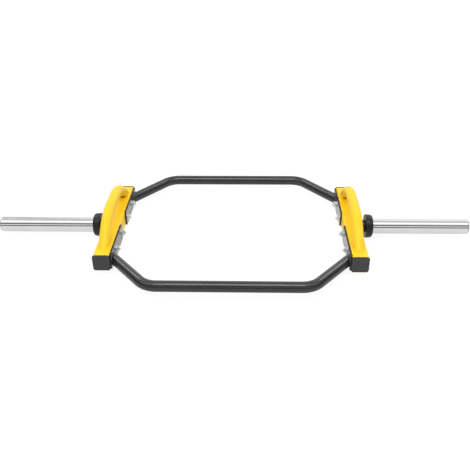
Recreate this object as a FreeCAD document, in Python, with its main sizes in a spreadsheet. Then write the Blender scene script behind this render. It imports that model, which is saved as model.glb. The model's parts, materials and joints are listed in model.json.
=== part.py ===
"""Hex trap bar with raised handles, drawn level, as it lies on its two collars.

X runs along the loading sleeves, Y from the front of the hexagon to its rear and Z up.
The origin is on the floor, under the centre of the hexagon.
Every piece is drawn once, about the middle of the sleeve axis, on the right or at the rear.
It is then turned into its other places and lifted until the collars stand on the floor.
"""
import FreeCAD
import Part
import math
import os
import Sketcher

Vector = FreeCAD.Vector
Constraint = Sketcher.Constraint

# Driving dimensions, in millimetres
SIZES = (
    ("tube_diameter", 33.7, "outside of the two bent frame tubes"),
    ("tube_wall", 2.6, "wall of the frame tubes"),
    ("tube_run_y", 345, "axis of the front and rear runs, from the centre"),
    ("tube_corner_x", 242.5, "where the axes of run and leg would meet"),
    ("tube_end_inset", 30, "where the axis of a leg meets its plate, from the end of the beam"),
    ("tube_drop", 3, "axis of the frame tubes below that of the beams"),
    ("tube_bend_radius", 68, "bend of the frame tubes, at the axis"),
    ("beam_side", 50.8, "outside of the square beams"),
    ("beam_wall", 3, "wall of the beams"),
    ("beam_corner_radius", 6.5, "outer corners of the beams' section"),
    ("beam_length", 460, "bare beam, without its caps"),
    ("beam_centre_x", 393, "axis of each beam, from the centre"),
    ("plate_thickness", 5, "flange plates"),
    ("plate_length", 191, "flange plates, back from the ends of the beam"),
    ("plate_corner_radius", 6, "corners of the flange plates"),
    ("handle_diameter", 33.7, "outside of the handles"),
    ("handle_wall", 2.6, "wall of the handles"),
    ("handle_rise", 65.5, "axis of a handle's top above the beam"),
    ("handle_corner_y", 98.5, "where the axes of top and leg would meet"),
    ("handle_foot_inset", 54, "where the axis of a leg meets the beam, from its end"),
    ("handle_bend_radius", 175, "bow of the handles, at the axis"),
    ("cap_flange", 4, "thickness of a cap outside the beam"),
    ("cap_overhang", 1.5, "rim of a cap beyond the beam, each side"),
    ("cap_edge_radius", 1.5, "rounded rim of a cap"),
    ("cap_skirt_depth", 16, "how far a cap reaches into the beam"),
    ("cap_skirt_wall", 2.5, "wall of the cap's skirt"),
    ("cap_clearance", 0.2, "skirt to beam, each side"),
    ("bolt_diameter", 10, "thread of the eight bolts"),
    ("bolt_length", 70, "shank under the head"),
    ("bolt_end_chamfer", 1, "end of the shank"),
    ("bolt_head_diameter", 17.5, "low round head, outside"),
    ("bolt_head_height", 5.5, "thickness of the head"),
    ("bolt_head_edge_radius", 4.5, "rounded rim of the head"),
    ("bolt_socket_across", 6, "key socket in the head, across its flats"),
    ("bolt_socket_depth", 3, "key socket in the head"),
    ("bolt_edge_distance", 13, "first bolt of a plate, from the plate's inner end"),
    ("bolt_tube_distance", 51, "second bolt of a plate, from the axis of the tube"),
    ("bolt_axle_distance", 12, "least room between a bolt's axis and the axle in the beam"),
    ("bolt_clearance", 0.5, "bolt to hole, each side"),
    ("nut_across", 17, "nut, across its flats"),
    ("nut_height", 8, "thickness of a nut"),
    ("thread_clearance", 0.05, "bolt to nut, each side"),
    ("washer_diameter", 20, "outside of the nuts' washers"),
    ("washer_thickness", 2, "nuts' washers"),
    ("washer_clearance", 0.25, "bolt to washer, each side"),
    ("spigot_diameter", 36, "end of the axle that is set into the beam"),
    ("stub_diameter", 40, "bare part of the axle beside the beam"),
    ("stub_length", 19, "bare part of the axle beside the beam"),
    ("journal_diameter", 30, "axle inside the sleeve"),
    ("journal_end", 3, "axle outside its snap ring"),
    ("journal_chamfer", 1, "outer end of the axle"),
    ("thrust_washer_thickness", 2, "both washers of a sleeve"),
    ("outer_washer_diameter", 38, "washer at the outer bush"),
    ("snap_ring_thickness", 1.5, "snap ring, along the axle"),
    ("snap_ring_width", 3.2, "snap ring, across its band"),
    ("snap_groove_depth", 0.7, "groove in the axle"),
    ("snap_groove_play", 0.1, "groove longer than the ring"),
    ("sleeve_diameter", 50, "outside of the loading sleeves"),
    ("sleeve_bore", 40, "inside of the loading sleeves"),
    ("loading_length", 314, "bare sleeve outside the collar"),
    ("sleeve_chamfer", 3, "tip of a sleeve"),
    ("collar_seat_diameter", 52, "raised land of a sleeve under its collar"),
    ("collar_diameter", 78, "rim of the collars beside the beams"),
    ("collar_rim_width", 6, "straight part of the collars beside the beams"),
    ("collar_outer_diameter", 74.5, "collars at their outer ends, before they are rounded"),
    ("collar_width", 24, "collars, along the sleeve"),
    ("collar_edge_radius", 9, "rounded outer ends of the collars"),
    ("collar_rim_radius", 1, "rims of the collars beside the beams"),
    ("bush_length", 40, "each bush"),
    ("bush_inset", 30, "outer bush, from the tip of the sleeve"),
    ("plug_depth", 12, "plug in the tip of a sleeve"),
    ("plug_recess", 1, "plug below the tip of a sleeve"),
    ("plug_edge_chamfer", 1, "outer rim of the plug"),
    ("running_clearance", 0.05, "bush to axle, each side"),
    ("press_clearance", 0.02, "pressed pieces, each side"),
    ("axial_play", 0.2, "sleeve to washer, at each end"),
    ("overrun", 60, "how far cuts and trimmed tubes run on"),
)

# Places that several pieces share, as expressions on the sheet
AXIS_HEIGHT = "sizes.collar_diameter / 2"
BEAM_TOP = "(sizes.beam_side / 2)"
BEAM_END = "(sizes.beam_length / 2)"
BEAM_INNER_X = "(sizes.beam_centre_x - sizes.beam_side / 2)"
BEAM_OUTER_X = "(sizes.beam_centre_x + sizes.beam_side / 2)"
BEAM_BORE = "(sizes.beam_side - 2 * sizes.beam_wall)"
BEAM_BORE_RADIUS = "(sizes.beam_corner_radius - sizes.beam_wall)"
PLATE_FACE_X = f"({BEAM_INNER_X} - sizes.plate_thickness)"
PLATE_CENTRE_Y = f"({BEAM_END} - sizes.plate_length / 2)"
TUBE_END_Y = f"({BEAM_END} - sizes.tube_end_inset)"
HANDLE_FOOT_Y = f"({BEAM_END} - sizes.handle_foot_inset)"
BOLT_PLATE_Y = f"({BEAM_END} - sizes.plate_length + sizes.bolt_edge_distance)"
BOLT_AXLE_Y = "(sizes.spigot_diameter / 2 + sizes.bolt_axle_distance)"
FIRST_BOLT_Y = f"max({BOLT_PLATE_Y}; {BOLT_AXLE_Y})"
SECOND_BOLT_Y = f"({TUBE_END_Y} - sizes.bolt_tube_distance)"
BOLT_HEAD_X = f"({BEAM_OUTER_X} + sizes.bolt_head_height)"
BOLT_END_X = f"({BEAM_OUTER_X} - sizes.bolt_length)"
NUT_SEAT_X = f"({PLATE_FACE_X} - sizes.washer_thickness)"
BOLT_HOLE = "(sizes.bolt_diameter + 2 * sizes.bolt_clearance)"
STUB_END_X = f"({BEAM_OUTER_X} + sizes.stub_length)"
INNER_WASHER_END_X = f"({STUB_END_X} + sizes.thrust_washer_thickness)"
SLEEVE_START_X = f"({INNER_WASHER_END_X} + sizes.axial_play)"
COLLAR_END_X = f"({SLEEVE_START_X} + sizes.collar_width)"
SLEEVE_END_X = f"({COLLAR_END_X} + sizes.loading_length)"
OUTER_BUSH_END_X = f"({SLEEVE_END_X} - sizes.bush_inset)"
OUTER_WASHER_X = f"({OUTER_BUSH_END_X} + sizes.axial_play)"
SNAP_RING_X = f"({OUTER_WASHER_X} + sizes.thrust_washer_thickness)"
SNAP_GROOVE_END_X = f"({SNAP_RING_X} + sizes.snap_ring_thickness + sizes.snap_groove_play)"
AXLE_END_X = f"({SNAP_GROOVE_END_X} + sizes.journal_end)"
JOURNAL_RADIUS = "(sizes.journal_diameter / 2)"
SNAP_GROOVE_RADIUS = f"({JOURNAL_RADIUS} - sizes.snap_groove_depth)"
AXLE_BORE_RADIUS = f"({JOURNAL_RADIUS} + sizes.running_clearance)"
SLEEVE_RADIUS = "(sizes.sleeve_diameter / 2)"
SLEEVE_BORE_RADIUS = "(sizes.sleeve_bore / 2)"
PRESSED_RADIUS = f"({SLEEVE_BORE_RADIUS} - sizes.press_clearance)"
COLLAR_SEAT_RADIUS = "(sizes.collar_seat_diameter / 2)"
ON_AXIS = "0"

# Half turns that bring a piece drawn on the right, or at the rear, to its other places
UNTURNED = FreeCAD.Rotation()
HALF_TURN_X = FreeCAD.Rotation(Vector(1, 0, 0), 180)
HALF_TURN_Y = FreeCAD.Rotation(Vector(0, 1, 0), 180)
HALF_TURN_Z = FreeCAD.Rotation(Vector(0, 0, 1), 180)
SIDES = (("right", UNTURNED), ("left", HALF_TURN_Z))
CORNERS = (
    ("front_right", UNTURNED),
    ("rear_right", HALF_TURN_X),
    ("rear_left", HALF_TURN_Z),
    ("front_left", HALF_TURN_Y),
)
# Turns X to Y, Y to Z and Z to X, which stands a flat bent tube up along the beam
UPRIGHT = FreeCAD.Rotation(Vector(1, 1, 1), 120)
# Degrees that a snap ring reaches round its axle
SNAP_RING_SWEEP = 320

doc = FreeCAD.newDocument("hex_trap_bar")
sheet = doc.addObject("Spreadsheet::Sheet", "sizes")
for row, (alias, size, note) in enumerate(SIZES, start=1):
    sheet.set(f"A{row}", note)
    sheet.set(f"B{row}", str(size))
    sheet.setAlias(f"B{row}", alias)
doc.recompute()


def value(expression):
    """Return what an expression on the sheet comes to, as a plain number."""
    return float(sheet.evalExpression(expression))


def new_body(label, turn=UNTURNED):
    """Start a sub-part, turned into its place and lifted to the height of the sleeve axis."""
    body = doc.addObject("PartDesign::Body", label)
    body.Label = label
    body.Placement = FreeCAD.Placement(Vector(), turn)
    body.setExpression("Placement.Base.z", AXIS_HEIGHT)
    return body


def datum(body, role):
    """Return a plane or an axis of the body's own origin."""
    return next(feature for feature in body.Origin.OriginFeatures if feature.Role == role)


def new_sketch(body, role, name, offset=ON_AXIS, up=ON_AXIS):
    """Start a sketch on an origin plane of the body, moved along its normal and up its plane."""
    sketch = body.newObject("Sketcher::SketchObject", name)
    sketch.AttachmentSupport = [(datum(body, role), "")]
    sketch.MapMode = "FlatFace"
    sketch.setExpression("AttachmentOffset.Base.z", offset)
    sketch.setExpression("AttachmentOffset.Base.y", up)
    return sketch


def bind(sketch, constraint, expression):
    """Add a dimension to a sketch and tie it to the sheet."""
    index = sketch.addConstraint(constraint)
    sketch.setExpression(f"Constraints[{index}]", expression)


def place_point(sketch, geometry, end, across, up):
    """Fix a point of a sketch at two expressions, or on an axis where one is nothing."""
    for kind, expression, axis in (("DistanceX", across, -2), ("DistanceY", up, -1)):
        if expression == ON_AXIS:
            sketch.addConstraint(Constraint("PointOnObject", geometry, end, axis))
        else:
            bind(sketch, Constraint(kind, -1, 1, geometry, end, value(expression)), expression)


def draw_outline(sketch, points):
    """Draw a closed straight-sided outline through pairs of expressions."""
    corners = [Vector(value(across), value(up), 0) for across, up in points]
    following = corners[1:] + corners[:1]
    first = sketch.GeometryCount
    for start, end in zip(corners, following):
        sketch.addGeometry(Part.LineSegment(start, end))
    for index, (across, up) in enumerate(points):
        joined = first + (index + 1) % len(points)
        sketch.addConstraint(Constraint("Coincident", first + index, 2, joined, 1))
        place_point(sketch, first + index, 1, across, up)


def draw_rectangle(sketch, low, high):
    """Draw an upright rectangle between two corners given as expressions."""
    draw_outline(sketch, (low, (high[0], low[1]), high, (low[0], high[1])))


def draw_circle(sketch, across, up, diameter):
    """Draw a circle with its centre and diameter on the sheet."""
    centre = Vector(value(across), value(up), 0)
    index = sketch.addGeometry(Part.Circle(centre, Vector(0, 0, 1), value(diameter) / 2))
    place_point(sketch, index, 3, across, up)
    bind(sketch, Constraint("Diameter", index, value(diameter)), diameter)


def draw_hexagon(sketch, across, flats):
    """Draw a regular hexagon centred on the sketch's X axis, with two flats level."""
    corner = f"{flats} / sqrt(3)"
    half = f"{flats} / 2"
    draw_outline(sketch, (
        (f"{across} + {corner}", ON_AXIS),
        (f"{across} + {corner} / 2", half),
        (f"{across} - {corner} / 2", half),
        (f"{across} - {corner}", ON_AXIS),
        (f"{across} - {corner} / 2", f"-{half}"),
        (f"{across} + {corner} / 2", f"-{half}"),
    ))


def draw_rounded(sketch, across, up, width, height, radius):
    """Draw a rectangle with four equal rounded corners about a centre."""
    low_x = f"{across} - {width} / 2"
    high_x = f"{across} + {width} / 2"
    low_y = f"{up} - {height} / 2"
    high_y = f"{up} + {height} / 2"
    x0, x1, y0, y1 = value(low_x), value(high_x), value(low_y), value(high_y)
    r = value(radius)
    sides = (
        (Vector(x0 + r, y0, 0), Vector(x1 - r, y0, 0)),
        (Vector(x1, y0 + r, 0), Vector(x1, y1 - r, 0)),
        (Vector(x1 - r, y1, 0), Vector(x0 + r, y1, 0)),
        (Vector(x0, y1 - r, 0), Vector(x0, y0 + r, 0)),
    )
    centres = (
        Vector(x1 - r, y0 + r, 0),
        Vector(x1 - r, y1 - r, 0),
        Vector(x0 + r, y1 - r, 0),
        Vector(x0 + r, y0 + r, 0),
    )
    quarter = math.pi / 2
    first = sketch.GeometryCount
    for turn, ((start, end), centre) in enumerate(zip(sides, centres)):
        sketch.addGeometry(Part.LineSegment(start, end))
        circle = Part.Circle(centre, Vector(0, 0, 1), r)
        sketch.addGeometry(Part.ArcOfCircle(circle, (turn - 1) * quarter, turn * quarter))
    places = (("DistanceY", low_y), ("DistanceX", high_x), ("DistanceY", high_y), ("DistanceX", low_x))
    for turn, (kind, expression) in enumerate(places):
        line = first + 2 * turn
        arc = line + 1
        next_line = first + (2 * turn + 2) % 8
        sketch.addConstraint(Constraint("Horizontal" if kind == "DistanceY" else "Vertical", line))
        sketch.addConstraint(Constraint("Tangent", line, 2, arc, 1))
        sketch.addConstraint(Constraint("Tangent", arc, 2, next_line, 1))
        bind(sketch, Constraint(kind, -1, 1, line, 1, value(expression)), expression)
        if turn > 0:
            sketch.addConstraint(Constraint("Equal", first + 1, arc))
    bind(sketch, Constraint("Radius", first + 1, r), radius)


def pad(body, sketch, name, length, backwards=False, both_ways=False):
    """Extrude a sketch by an expression."""
    feature = body.newObject("PartDesign::Pad", name)
    feature.Profile = sketch
    feature.Reversed = backwards
    feature.Midplane = both_ways
    feature.setExpression("Length", length)
    doc.recompute()
    return feature


def pocket(body, sketch, name, length, backwards=False, both_ways=False):
    """Cut a sketch into the body by an expression, and make sure that it cut."""
    before = body.Shape.Volume
    feature = body.newObject("PartDesign::Pocket", name)
    feature.Profile = sketch
    feature.Reversed = backwards
    feature.Midplane = both_ways
    feature.setExpression("Length", length)
    doc.recompute()
    if feature.Shape.Volume >= before:
        raise RuntimeError(f"{body.Label}: {name} cut nothing")
    return feature


def turn_outline(body, name, points, axis_y=ON_AXIS, sweep=360):
    """Turn an outline of places along X and radii about an axis that runs along X."""
    sketch = new_sketch(body, "XY_Plane", f"{name}_profile", up=axis_y)
    draw_outline(sketch, points)
    feature = body.newObject("PartDesign::Revolution", f"{name}_turning")
    feature.Profile = sketch
    feature.ReferenceAxis = (sketch, ["H_Axis"])
    feature.Angle = sweep
    doc.recompute()
    return feature


def turned_piece(label, turn, points, sweep=360):
    """Turn a piece about the sleeve axis from an outline of places along X and radii."""
    body = new_body(label, turn)
    turn_outline(body, label, points, sweep=sweep)
    return body


def turned_ring(label, turn, start, end, inner, outer, sweep=360):
    """Turn a plain ring with square edges about the sleeve axis."""
    points = ((start, inner), (end, inner), (end, outer), (start, outer))
    return turned_piece(label, turn, points, sweep)


def draw_bent_path(sketch, run, corner, end, bend):
    """Draw half a tube's axis: a level run, one bend and a leg through the end point.

    The run lies at the height called run and would meet the leg at the corner.
    The leg runs on past its end point, and is trimmed there later.
    """
    top, turn_at, radius, run_on = value(run), value(corner), value(bend), value("sizes.overrun")
    vertex = Vector(turn_at, top, 0)
    foot = Vector(value(end[0]), value(end[1]), 0)
    along = (foot - vertex).normalize()
    angle = math.atan2(-along.y, along.x)
    tangent = radius * math.tan(angle / 2)
    centre = Vector(turn_at - tangent, top - radius, 0)
    quarter = math.pi / 2
    sketch.addGeometry(Part.LineSegment(Vector(0, top, 0), Vector(turn_at - tangent, top, 0)))
    circle = Part.Circle(centre, Vector(0, 0, 1), radius)
    sketch.addGeometry(Part.ArcOfCircle(circle, quarter - angle, quarter))
    sketch.addGeometry(Part.LineSegment(vertex + along * tangent, foot + along * run_on))
    sketch.addGeometry(Part.Point(vertex), True)
    sketch.addGeometry(Part.Point(foot), True)
    sketch.addConstraint([
        Constraint("Horizontal", 0),
        Constraint("Tangent", 0, 2, 1, 2),
        Constraint("Tangent", 1, 1, 2, 1),
        Constraint("PointOnObject", 3, 1, 0),
        Constraint("PointOnObject", 3, 1, 2),
        Constraint("PointOnObject", 4, 1, 2),
    ])
    place_point(sketch, 0, 1, ON_AXIS, run)
    bind(sketch, Constraint("DistanceX", -1, 1, 3, 1, turn_at), corner)
    place_point(sketch, 4, 1, *end)
    bind(sketch, Constraint("Radius", 1, radius), bend)
    bind(sketch, Constraint("Distance", 4, 1, 2, 2, run_on), "sizes.overrun")


def bent_tube(label, turn, run, corner, end, bend, diameter, wall, trim):
    """Sweep half a round tube along its bent axis, trim its leg and mirror it."""
    body = new_body(label, turn)
    path = new_sketch(body, "XY_Plane", f"{label}_axis")
    draw_bent_path(path, run, corner, end, bend)
    profile = new_sketch(body, "YZ_Plane", f"{label}_section")
    draw_circle(profile, run, ON_AXIS, diameter)
    draw_circle(profile, run, ON_AXIS, f"{diameter} - 2 * {wall}")
    doc.recompute()
    sweep = body.newObject("PartDesign::AdditivePipe", f"{label}_sweep")
    sweep.Profile = profile
    sweep.Spine = (path, ["Edge1", "Edge2", "Edge3"])
    doc.recompute()
    trimming = new_sketch(body, "XY_Plane", f"{label}_trim")
    draw_rectangle(trimming, *trim)
    cut = pocket(body, trimming, f"{label}_cut", f"2 * {diameter}", both_ways=True)
    mirror = body.newObject("PartDesign::Mirrored", f"{label}_mirror")
    mirror.Originals = [sweep, cut]
    mirror.MirrorPlane = (datum(body, "YZ_Plane"), [""])
    body.Tip = mirror
    doc.recompute()
    return body


def round_edges(body, name, radius, chosen):
    """Round the edges of the body's last feature that the test picks."""
    base = body.Tip
    edges = [f"Edge{index}" for index, edge in enumerate(base.Shape.Edges, start=1) if chosen(edge)]
    feature = body.newObject("PartDesign::Fillet", name)
    feature.Base = (base, edges)
    feature.setExpression("Radius", radius)
    doc.recompute()
    return feature


def is_rim(edge, radius):
    """Tell whether an edge is a full circle of the radius."""
    curve = edge.Curve
    return isinstance(curve, Part.Circle) and math.isclose(curve.Radius, radius, rel_tol=1e-6)


def frame_tube(label, turn):
    """One end of the hexagon with its two slanted legs, cut to the plates."""
    end = (PLATE_FACE_X, TUBE_END_Y)
    past_plate = (
        (PLATE_FACE_X, f"{TUBE_END_Y} - 2 * sizes.overrun"),
        (f"{PLATE_FACE_X} + 2 * sizes.overrun", f"{TUBE_END_Y} + 2 * sizes.overrun"),
    )
    body = bent_tube(label, turn, "sizes.tube_run_y", "sizes.tube_corner_x", end,
                     "sizes.tube_bend_radius", "sizes.tube_diameter", "sizes.tube_wall", past_plate)
    body.setExpression("Placement.Base.z", f"{AXIS_HEIGHT} - sizes.tube_drop")
    return body


def handle(label, turn):
    """A bowed handle, cut flat where it stands on the beam."""
    axis_height = f"({BEAM_TOP} + sizes.handle_rise)"
    end = (HANDLE_FOOT_Y, BEAM_TOP)
    below_beam_top = (
        (f"{HANDLE_FOOT_Y} - 2 * sizes.overrun", f"{BEAM_TOP} - 2 * sizes.overrun"),
        (f"{HANDLE_FOOT_Y} + 2 * sizes.overrun", BEAM_TOP),
    )
    body = bent_tube(label, turn * UPRIGHT, axis_height, "sizes.handle_corner_y", end,
                     "sizes.handle_bend_radius", "sizes.handle_diameter", "sizes.handle_wall",
                     below_beam_top)
    offset = turn.multVec(Vector(value("sizes.beam_centre_x"), 0, 0))
    side = "" if offset.x > 0 else "-"
    body.setExpression("Placement.Base.x", f"{side}sizes.beam_centre_x")
    return body


def beam(label, turn):
    """Square tube with the holes for its bolts and for the axle's spigot."""
    body = new_body(label, turn)
    section = new_sketch(body, "XZ_Plane", f"{label}_section")
    draw_rounded(section, "sizes.beam_centre_x", ON_AXIS, "sizes.beam_side", "sizes.beam_side",
                 "sizes.beam_corner_radius")
    draw_rounded(section, "sizes.beam_centre_x", ON_AXIS, BEAM_BORE, BEAM_BORE, BEAM_BORE_RADIUS)
    pad(body, section, f"{label}_length", "sizes.beam_length", both_ways=True)
    drilling = new_sketch(body, "YZ_Plane", f"{label}_bolt_circles", BEAM_OUTER_X)
    for across in (FIRST_BOLT_Y, SECOND_BOLT_Y, f"-{FIRST_BOLT_Y}", f"-{SECOND_BOLT_Y}"):
        draw_circle(drilling, across, ON_AXIS, BOLT_HOLE)
    pocket(body, drilling, f"{label}_bolt_holes", "sizes.beam_side")
    boring = new_sketch(body, "YZ_Plane", f"{label}_axle_circle", BEAM_OUTER_X)
    draw_circle(boring, ON_AXIS, ON_AXIS, "sizes.spigot_diameter + 2 * sizes.press_clearance")
    pocket(body, boring, f"{label}_axle_hole", "sizes.beam_side / 2")
    return body


def flange_plate(label, turn):
    """Flat plate that carries a tube's end and takes two bolts."""
    body = new_body(label, turn)
    face = new_sketch(body, "YZ_Plane", f"{label}_face", PLATE_FACE_X)
    draw_rounded(face, f"-{PLATE_CENTRE_Y}", ON_AXIS, "sizes.plate_length", "sizes.beam_side",
                 "sizes.plate_corner_radius")
    for across in (f"-{FIRST_BOLT_Y}", f"-{SECOND_BOLT_Y}"):
        draw_circle(face, across, ON_AXIS, BOLT_HOLE)
    pad(body, face, f"{label}_thickness", "sizes.plate_thickness")
    return body


def beam_cap(label, turn):
    """Plastic cap with a rounded rim and a skirt inside the beam."""
    body = new_body(label, turn)
    rim = new_sketch(body, "XZ_Plane", f"{label}_rim", BEAM_END)
    side = "(sizes.beam_side + 2 * sizes.cap_overhang)"
    draw_rounded(rim, "sizes.beam_centre_x", ON_AXIS, side, side,
                 "(sizes.beam_corner_radius + sizes.cap_overhang)")
    pad(body, rim, f"{label}_flange", "sizes.cap_flange")
    front = -value(f"{BEAM_END} + sizes.cap_flange")
    round_edges(body, f"{label}_rounding", "sizes.cap_edge_radius",
                lambda edge: math.isclose(edge.BoundBox.YMax, front, abs_tol=1e-6))
    fit = f"({BEAM_BORE} - 2 * sizes.cap_clearance)"
    hollow = f"({fit} - 2 * sizes.cap_skirt_wall)"
    skirt = new_sketch(body, "XZ_Plane", f"{label}_skirt_section", BEAM_END)
    draw_rounded(skirt, "sizes.beam_centre_x", ON_AXIS, fit, fit, BEAM_BORE_RADIUS)
    draw_rectangle(skirt,
                   (f"sizes.beam_centre_x - {hollow} / 2", f"-{hollow} / 2"),
                   (f"sizes.beam_centre_x + {hollow} / 2", f"{hollow} / 2"))
    pad(body, skirt, f"{label}_skirt", "sizes.cap_skirt_depth", backwards=True)
    return body


def repeat_at_bolts(body, originals):
    """Repeat features drawn at one bolt at all eight."""
    body.AllowCompound = True
    repeat = body.newObject("PartDesign::MultiTransform", f"{body.Label}_places")
    repeat.Originals = originals
    along = body.newObject("PartDesign::LinearPattern", f"{body.Label}_along_plate")
    along.Direction = (datum(body, "Y_Axis"), [""])
    along.Occurrences = 2
    along.setExpression("Length", f"{SECOND_BOLT_Y} - {FIRST_BOLT_Y}")
    to_front = body.newObject("PartDesign::Mirrored", f"{body.Label}_to_front")
    to_front.MirrorPlane = (datum(body, "XZ_Plane"), [""])
    to_left = body.newObject("PartDesign::Mirrored", f"{body.Label}_to_left")
    to_left.MirrorPlane = (datum(body, "YZ_Plane"), [""])
    repeat.Transformations = [along, to_front, to_left]
    body.Tip = repeat
    doc.recompute()


def bolts():
    """Eight bolts through beam and plate, with low round heads outside."""
    body = new_body("bolts")
    shank = "sizes.bolt_diameter / 2"
    head = "sizes.bolt_head_diameter / 2"
    turning = turn_outline(body, "bolt", (
        (BOLT_END_X, ON_AXIS),
        (BOLT_END_X, f"{shank} - sizes.bolt_end_chamfer"),
        (f"{BOLT_END_X} + sizes.bolt_end_chamfer", shank),
        (BEAM_OUTER_X, shank),
        (BEAM_OUTER_X, head),
        (BOLT_HEAD_X, head),
        (BOLT_HEAD_X, ON_AXIS),
    ), axis_y=FIRST_BOLT_Y)
    outline = new_sketch(body, "YZ_Plane", "bolt_socket_hexagon", BOLT_HEAD_X)
    draw_hexagon(outline, FIRST_BOLT_Y, "sizes.bolt_socket_across")
    socket = pocket(body, outline, "bolt_socket", "sizes.bolt_socket_depth")
    repeat_at_bolts(body, [turning, socket])
    rim_radius = value(head)
    rim_x = value(BOLT_HEAD_X)
    round_edges(body, "bolt_head_rounding", "sizes.bolt_head_edge_radius",
                lambda edge: is_rim(edge, rim_radius) and math.isclose(abs(edge.Curve.Center.x), rim_x))
    return body


def nuts():
    """Eight nuts on the inner side of the plates."""
    body = new_body("nuts")
    outline = new_sketch(body, "YZ_Plane", "nut_hexagon", NUT_SEAT_X)
    draw_hexagon(outline, FIRST_BOLT_Y, "sizes.nut_across")
    draw_circle(outline, FIRST_BOLT_Y, ON_AXIS,
                "sizes.bolt_diameter + 2 * sizes.thread_clearance")
    repeat_at_bolts(body, [pad(body, outline, "nut", "sizes.nut_height", backwards=True)])
    return body


def washers():
    """Eight flat washers, one under each nut."""
    body = new_body("washers")
    ring = new_sketch(body, "YZ_Plane", "washer_circles", NUT_SEAT_X)
    draw_circle(ring, FIRST_BOLT_Y, ON_AXIS, "sizes.washer_diameter")
    draw_circle(ring, FIRST_BOLT_Y, ON_AXIS,
                "sizes.bolt_diameter + 2 * sizes.washer_clearance")
    repeat_at_bolts(body, [pad(body, ring, "washer", "sizes.washer_thickness")])
    return body


def axle(label, turn):
    """Stepped shaft: spigot in the beam, bare stub, journal and snap ring groove."""
    spigot_end = f"{BEAM_INNER_X} + sizes.beam_wall"
    spigot = "sizes.spigot_diameter / 2"
    stub = "sizes.stub_diameter / 2"
    return turned_piece(label, turn, (
        (spigot_end, ON_AXIS),
        (spigot_end, spigot),
        (BEAM_OUTER_X, spigot),
        (BEAM_OUTER_X, stub),
        (STUB_END_X, stub),
        (STUB_END_X, JOURNAL_RADIUS),
        (SNAP_RING_X, JOURNAL_RADIUS),
        (SNAP_RING_X, SNAP_GROOVE_RADIUS),
        (SNAP_GROOVE_END_X, SNAP_GROOVE_RADIUS),
        (SNAP_GROOVE_END_X, JOURNAL_RADIUS),
        (f"{AXLE_END_X} - sizes.journal_chamfer", JOURNAL_RADIUS),
        (AXLE_END_X, f"{JOURNAL_RADIUS} - sizes.journal_chamfer"),
        (AXLE_END_X, ON_AXIS),
    ))


def sleeve(label, turn):
    """Loading sleeve, a thick tube with a raised land for its collar and a chamfered tip."""
    return turned_piece(label, turn, (
        (SLEEVE_START_X, SLEEVE_BORE_RADIUS),
        (SLEEVE_END_X, SLEEVE_BORE_RADIUS),
        (SLEEVE_END_X, f"{SLEEVE_RADIUS} - sizes.sleeve_chamfer"),
        (f"{SLEEVE_END_X} - sizes.sleeve_chamfer", SLEEVE_RADIUS),
        (COLLAR_END_X, SLEEVE_RADIUS),
        (COLLAR_END_X, COLLAR_SEAT_RADIUS),
        (SLEEVE_START_X, COLLAR_SEAT_RADIUS),
    ))


def collar(label, turn):
    """Thick tapered ring with a rounded outer end, which the weight plates rest against."""
    bore = f"{COLLAR_SEAT_RADIUS} + sizes.press_clearance"
    rim = "sizes.collar_diameter / 2"
    outer_end = "sizes.collar_outer_diameter / 2"
    body = turned_piece(label, turn, (
        (SLEEVE_START_X, bore),
        (COLLAR_END_X, bore),
        (COLLAR_END_X, outer_end),
        (f"{SLEEVE_START_X} + sizes.collar_rim_width", rim),
        (SLEEVE_START_X, rim),
    ))
    for name, place, size, rounding in (
            ("end", COLLAR_END_X, outer_end, "sizes.collar_edge_radius"),
            ("rim", SLEEVE_START_X, rim, "sizes.collar_rim_radius")):
        x, radius = value(place), value(size)
        round_edges(body, f"{label}_{name}_rounding", rounding,
                    lambda edge: is_rim(edge, radius) and math.isclose(edge.Curve.Center.x, x))
    return body


def sleeve_plug(label, turn):
    """Plug pressed into the tip of a sleeve, just below it."""
    face = f"({SLEEVE_END_X} - sizes.plug_recess)"
    return turned_piece(label, turn, (
        (f"{face} - sizes.plug_depth", ON_AXIS),
        (f"{face} - sizes.plug_depth", PRESSED_RADIUS),
        (f"{face} - sizes.plug_edge_chamfer", PRESSED_RADIUS),
        (face, f"{PRESSED_RADIUS} - sizes.plug_edge_chamfer"),
        (face, ON_AXIS),
    ))


def sleeve_set(side, turn):
    """All the turned pieces of one side, from the beam outwards."""
    snap_ring_radius = f"({SNAP_GROOVE_RADIUS} + sizes.snap_ring_width)"
    return [
        axle(f"{side}_axle", turn),
        turned_ring(f"{side}_thrust_washer", turn, STUB_END_X, INNER_WASHER_END_X,
                    AXLE_BORE_RADIUS, "sizes.stub_diameter / 2"),
        sleeve(f"{side}_sleeve", turn),
        collar(f"{side}_collar", turn),
        turned_ring(f"{side}_inner_bush", turn, SLEEVE_START_X,
                    f"{SLEEVE_START_X} + sizes.bush_length", AXLE_BORE_RADIUS, PRESSED_RADIUS),
        turned_ring(f"{side}_outer_bush", turn, f"{OUTER_BUSH_END_X} - sizes.bush_length",
                    OUTER_BUSH_END_X, AXLE_BORE_RADIUS, PRESSED_RADIUS),
        turned_ring(f"{side}_outer_washer", turn, OUTER_WASHER_X, SNAP_RING_X,
                    AXLE_BORE_RADIUS, "sizes.outer_washer_diameter / 2"),
        turned_ring(f"{side}_snap_ring", turn, SNAP_RING_X,
                    f"{SNAP_RING_X} + sizes.snap_ring_thickness",
                    SNAP_GROOVE_RADIUS, snap_ring_radius, sweep=SNAP_RING_SWEEP),
        sleeve_plug(f"{side}_sleeve_plug", turn),
    ]


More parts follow.
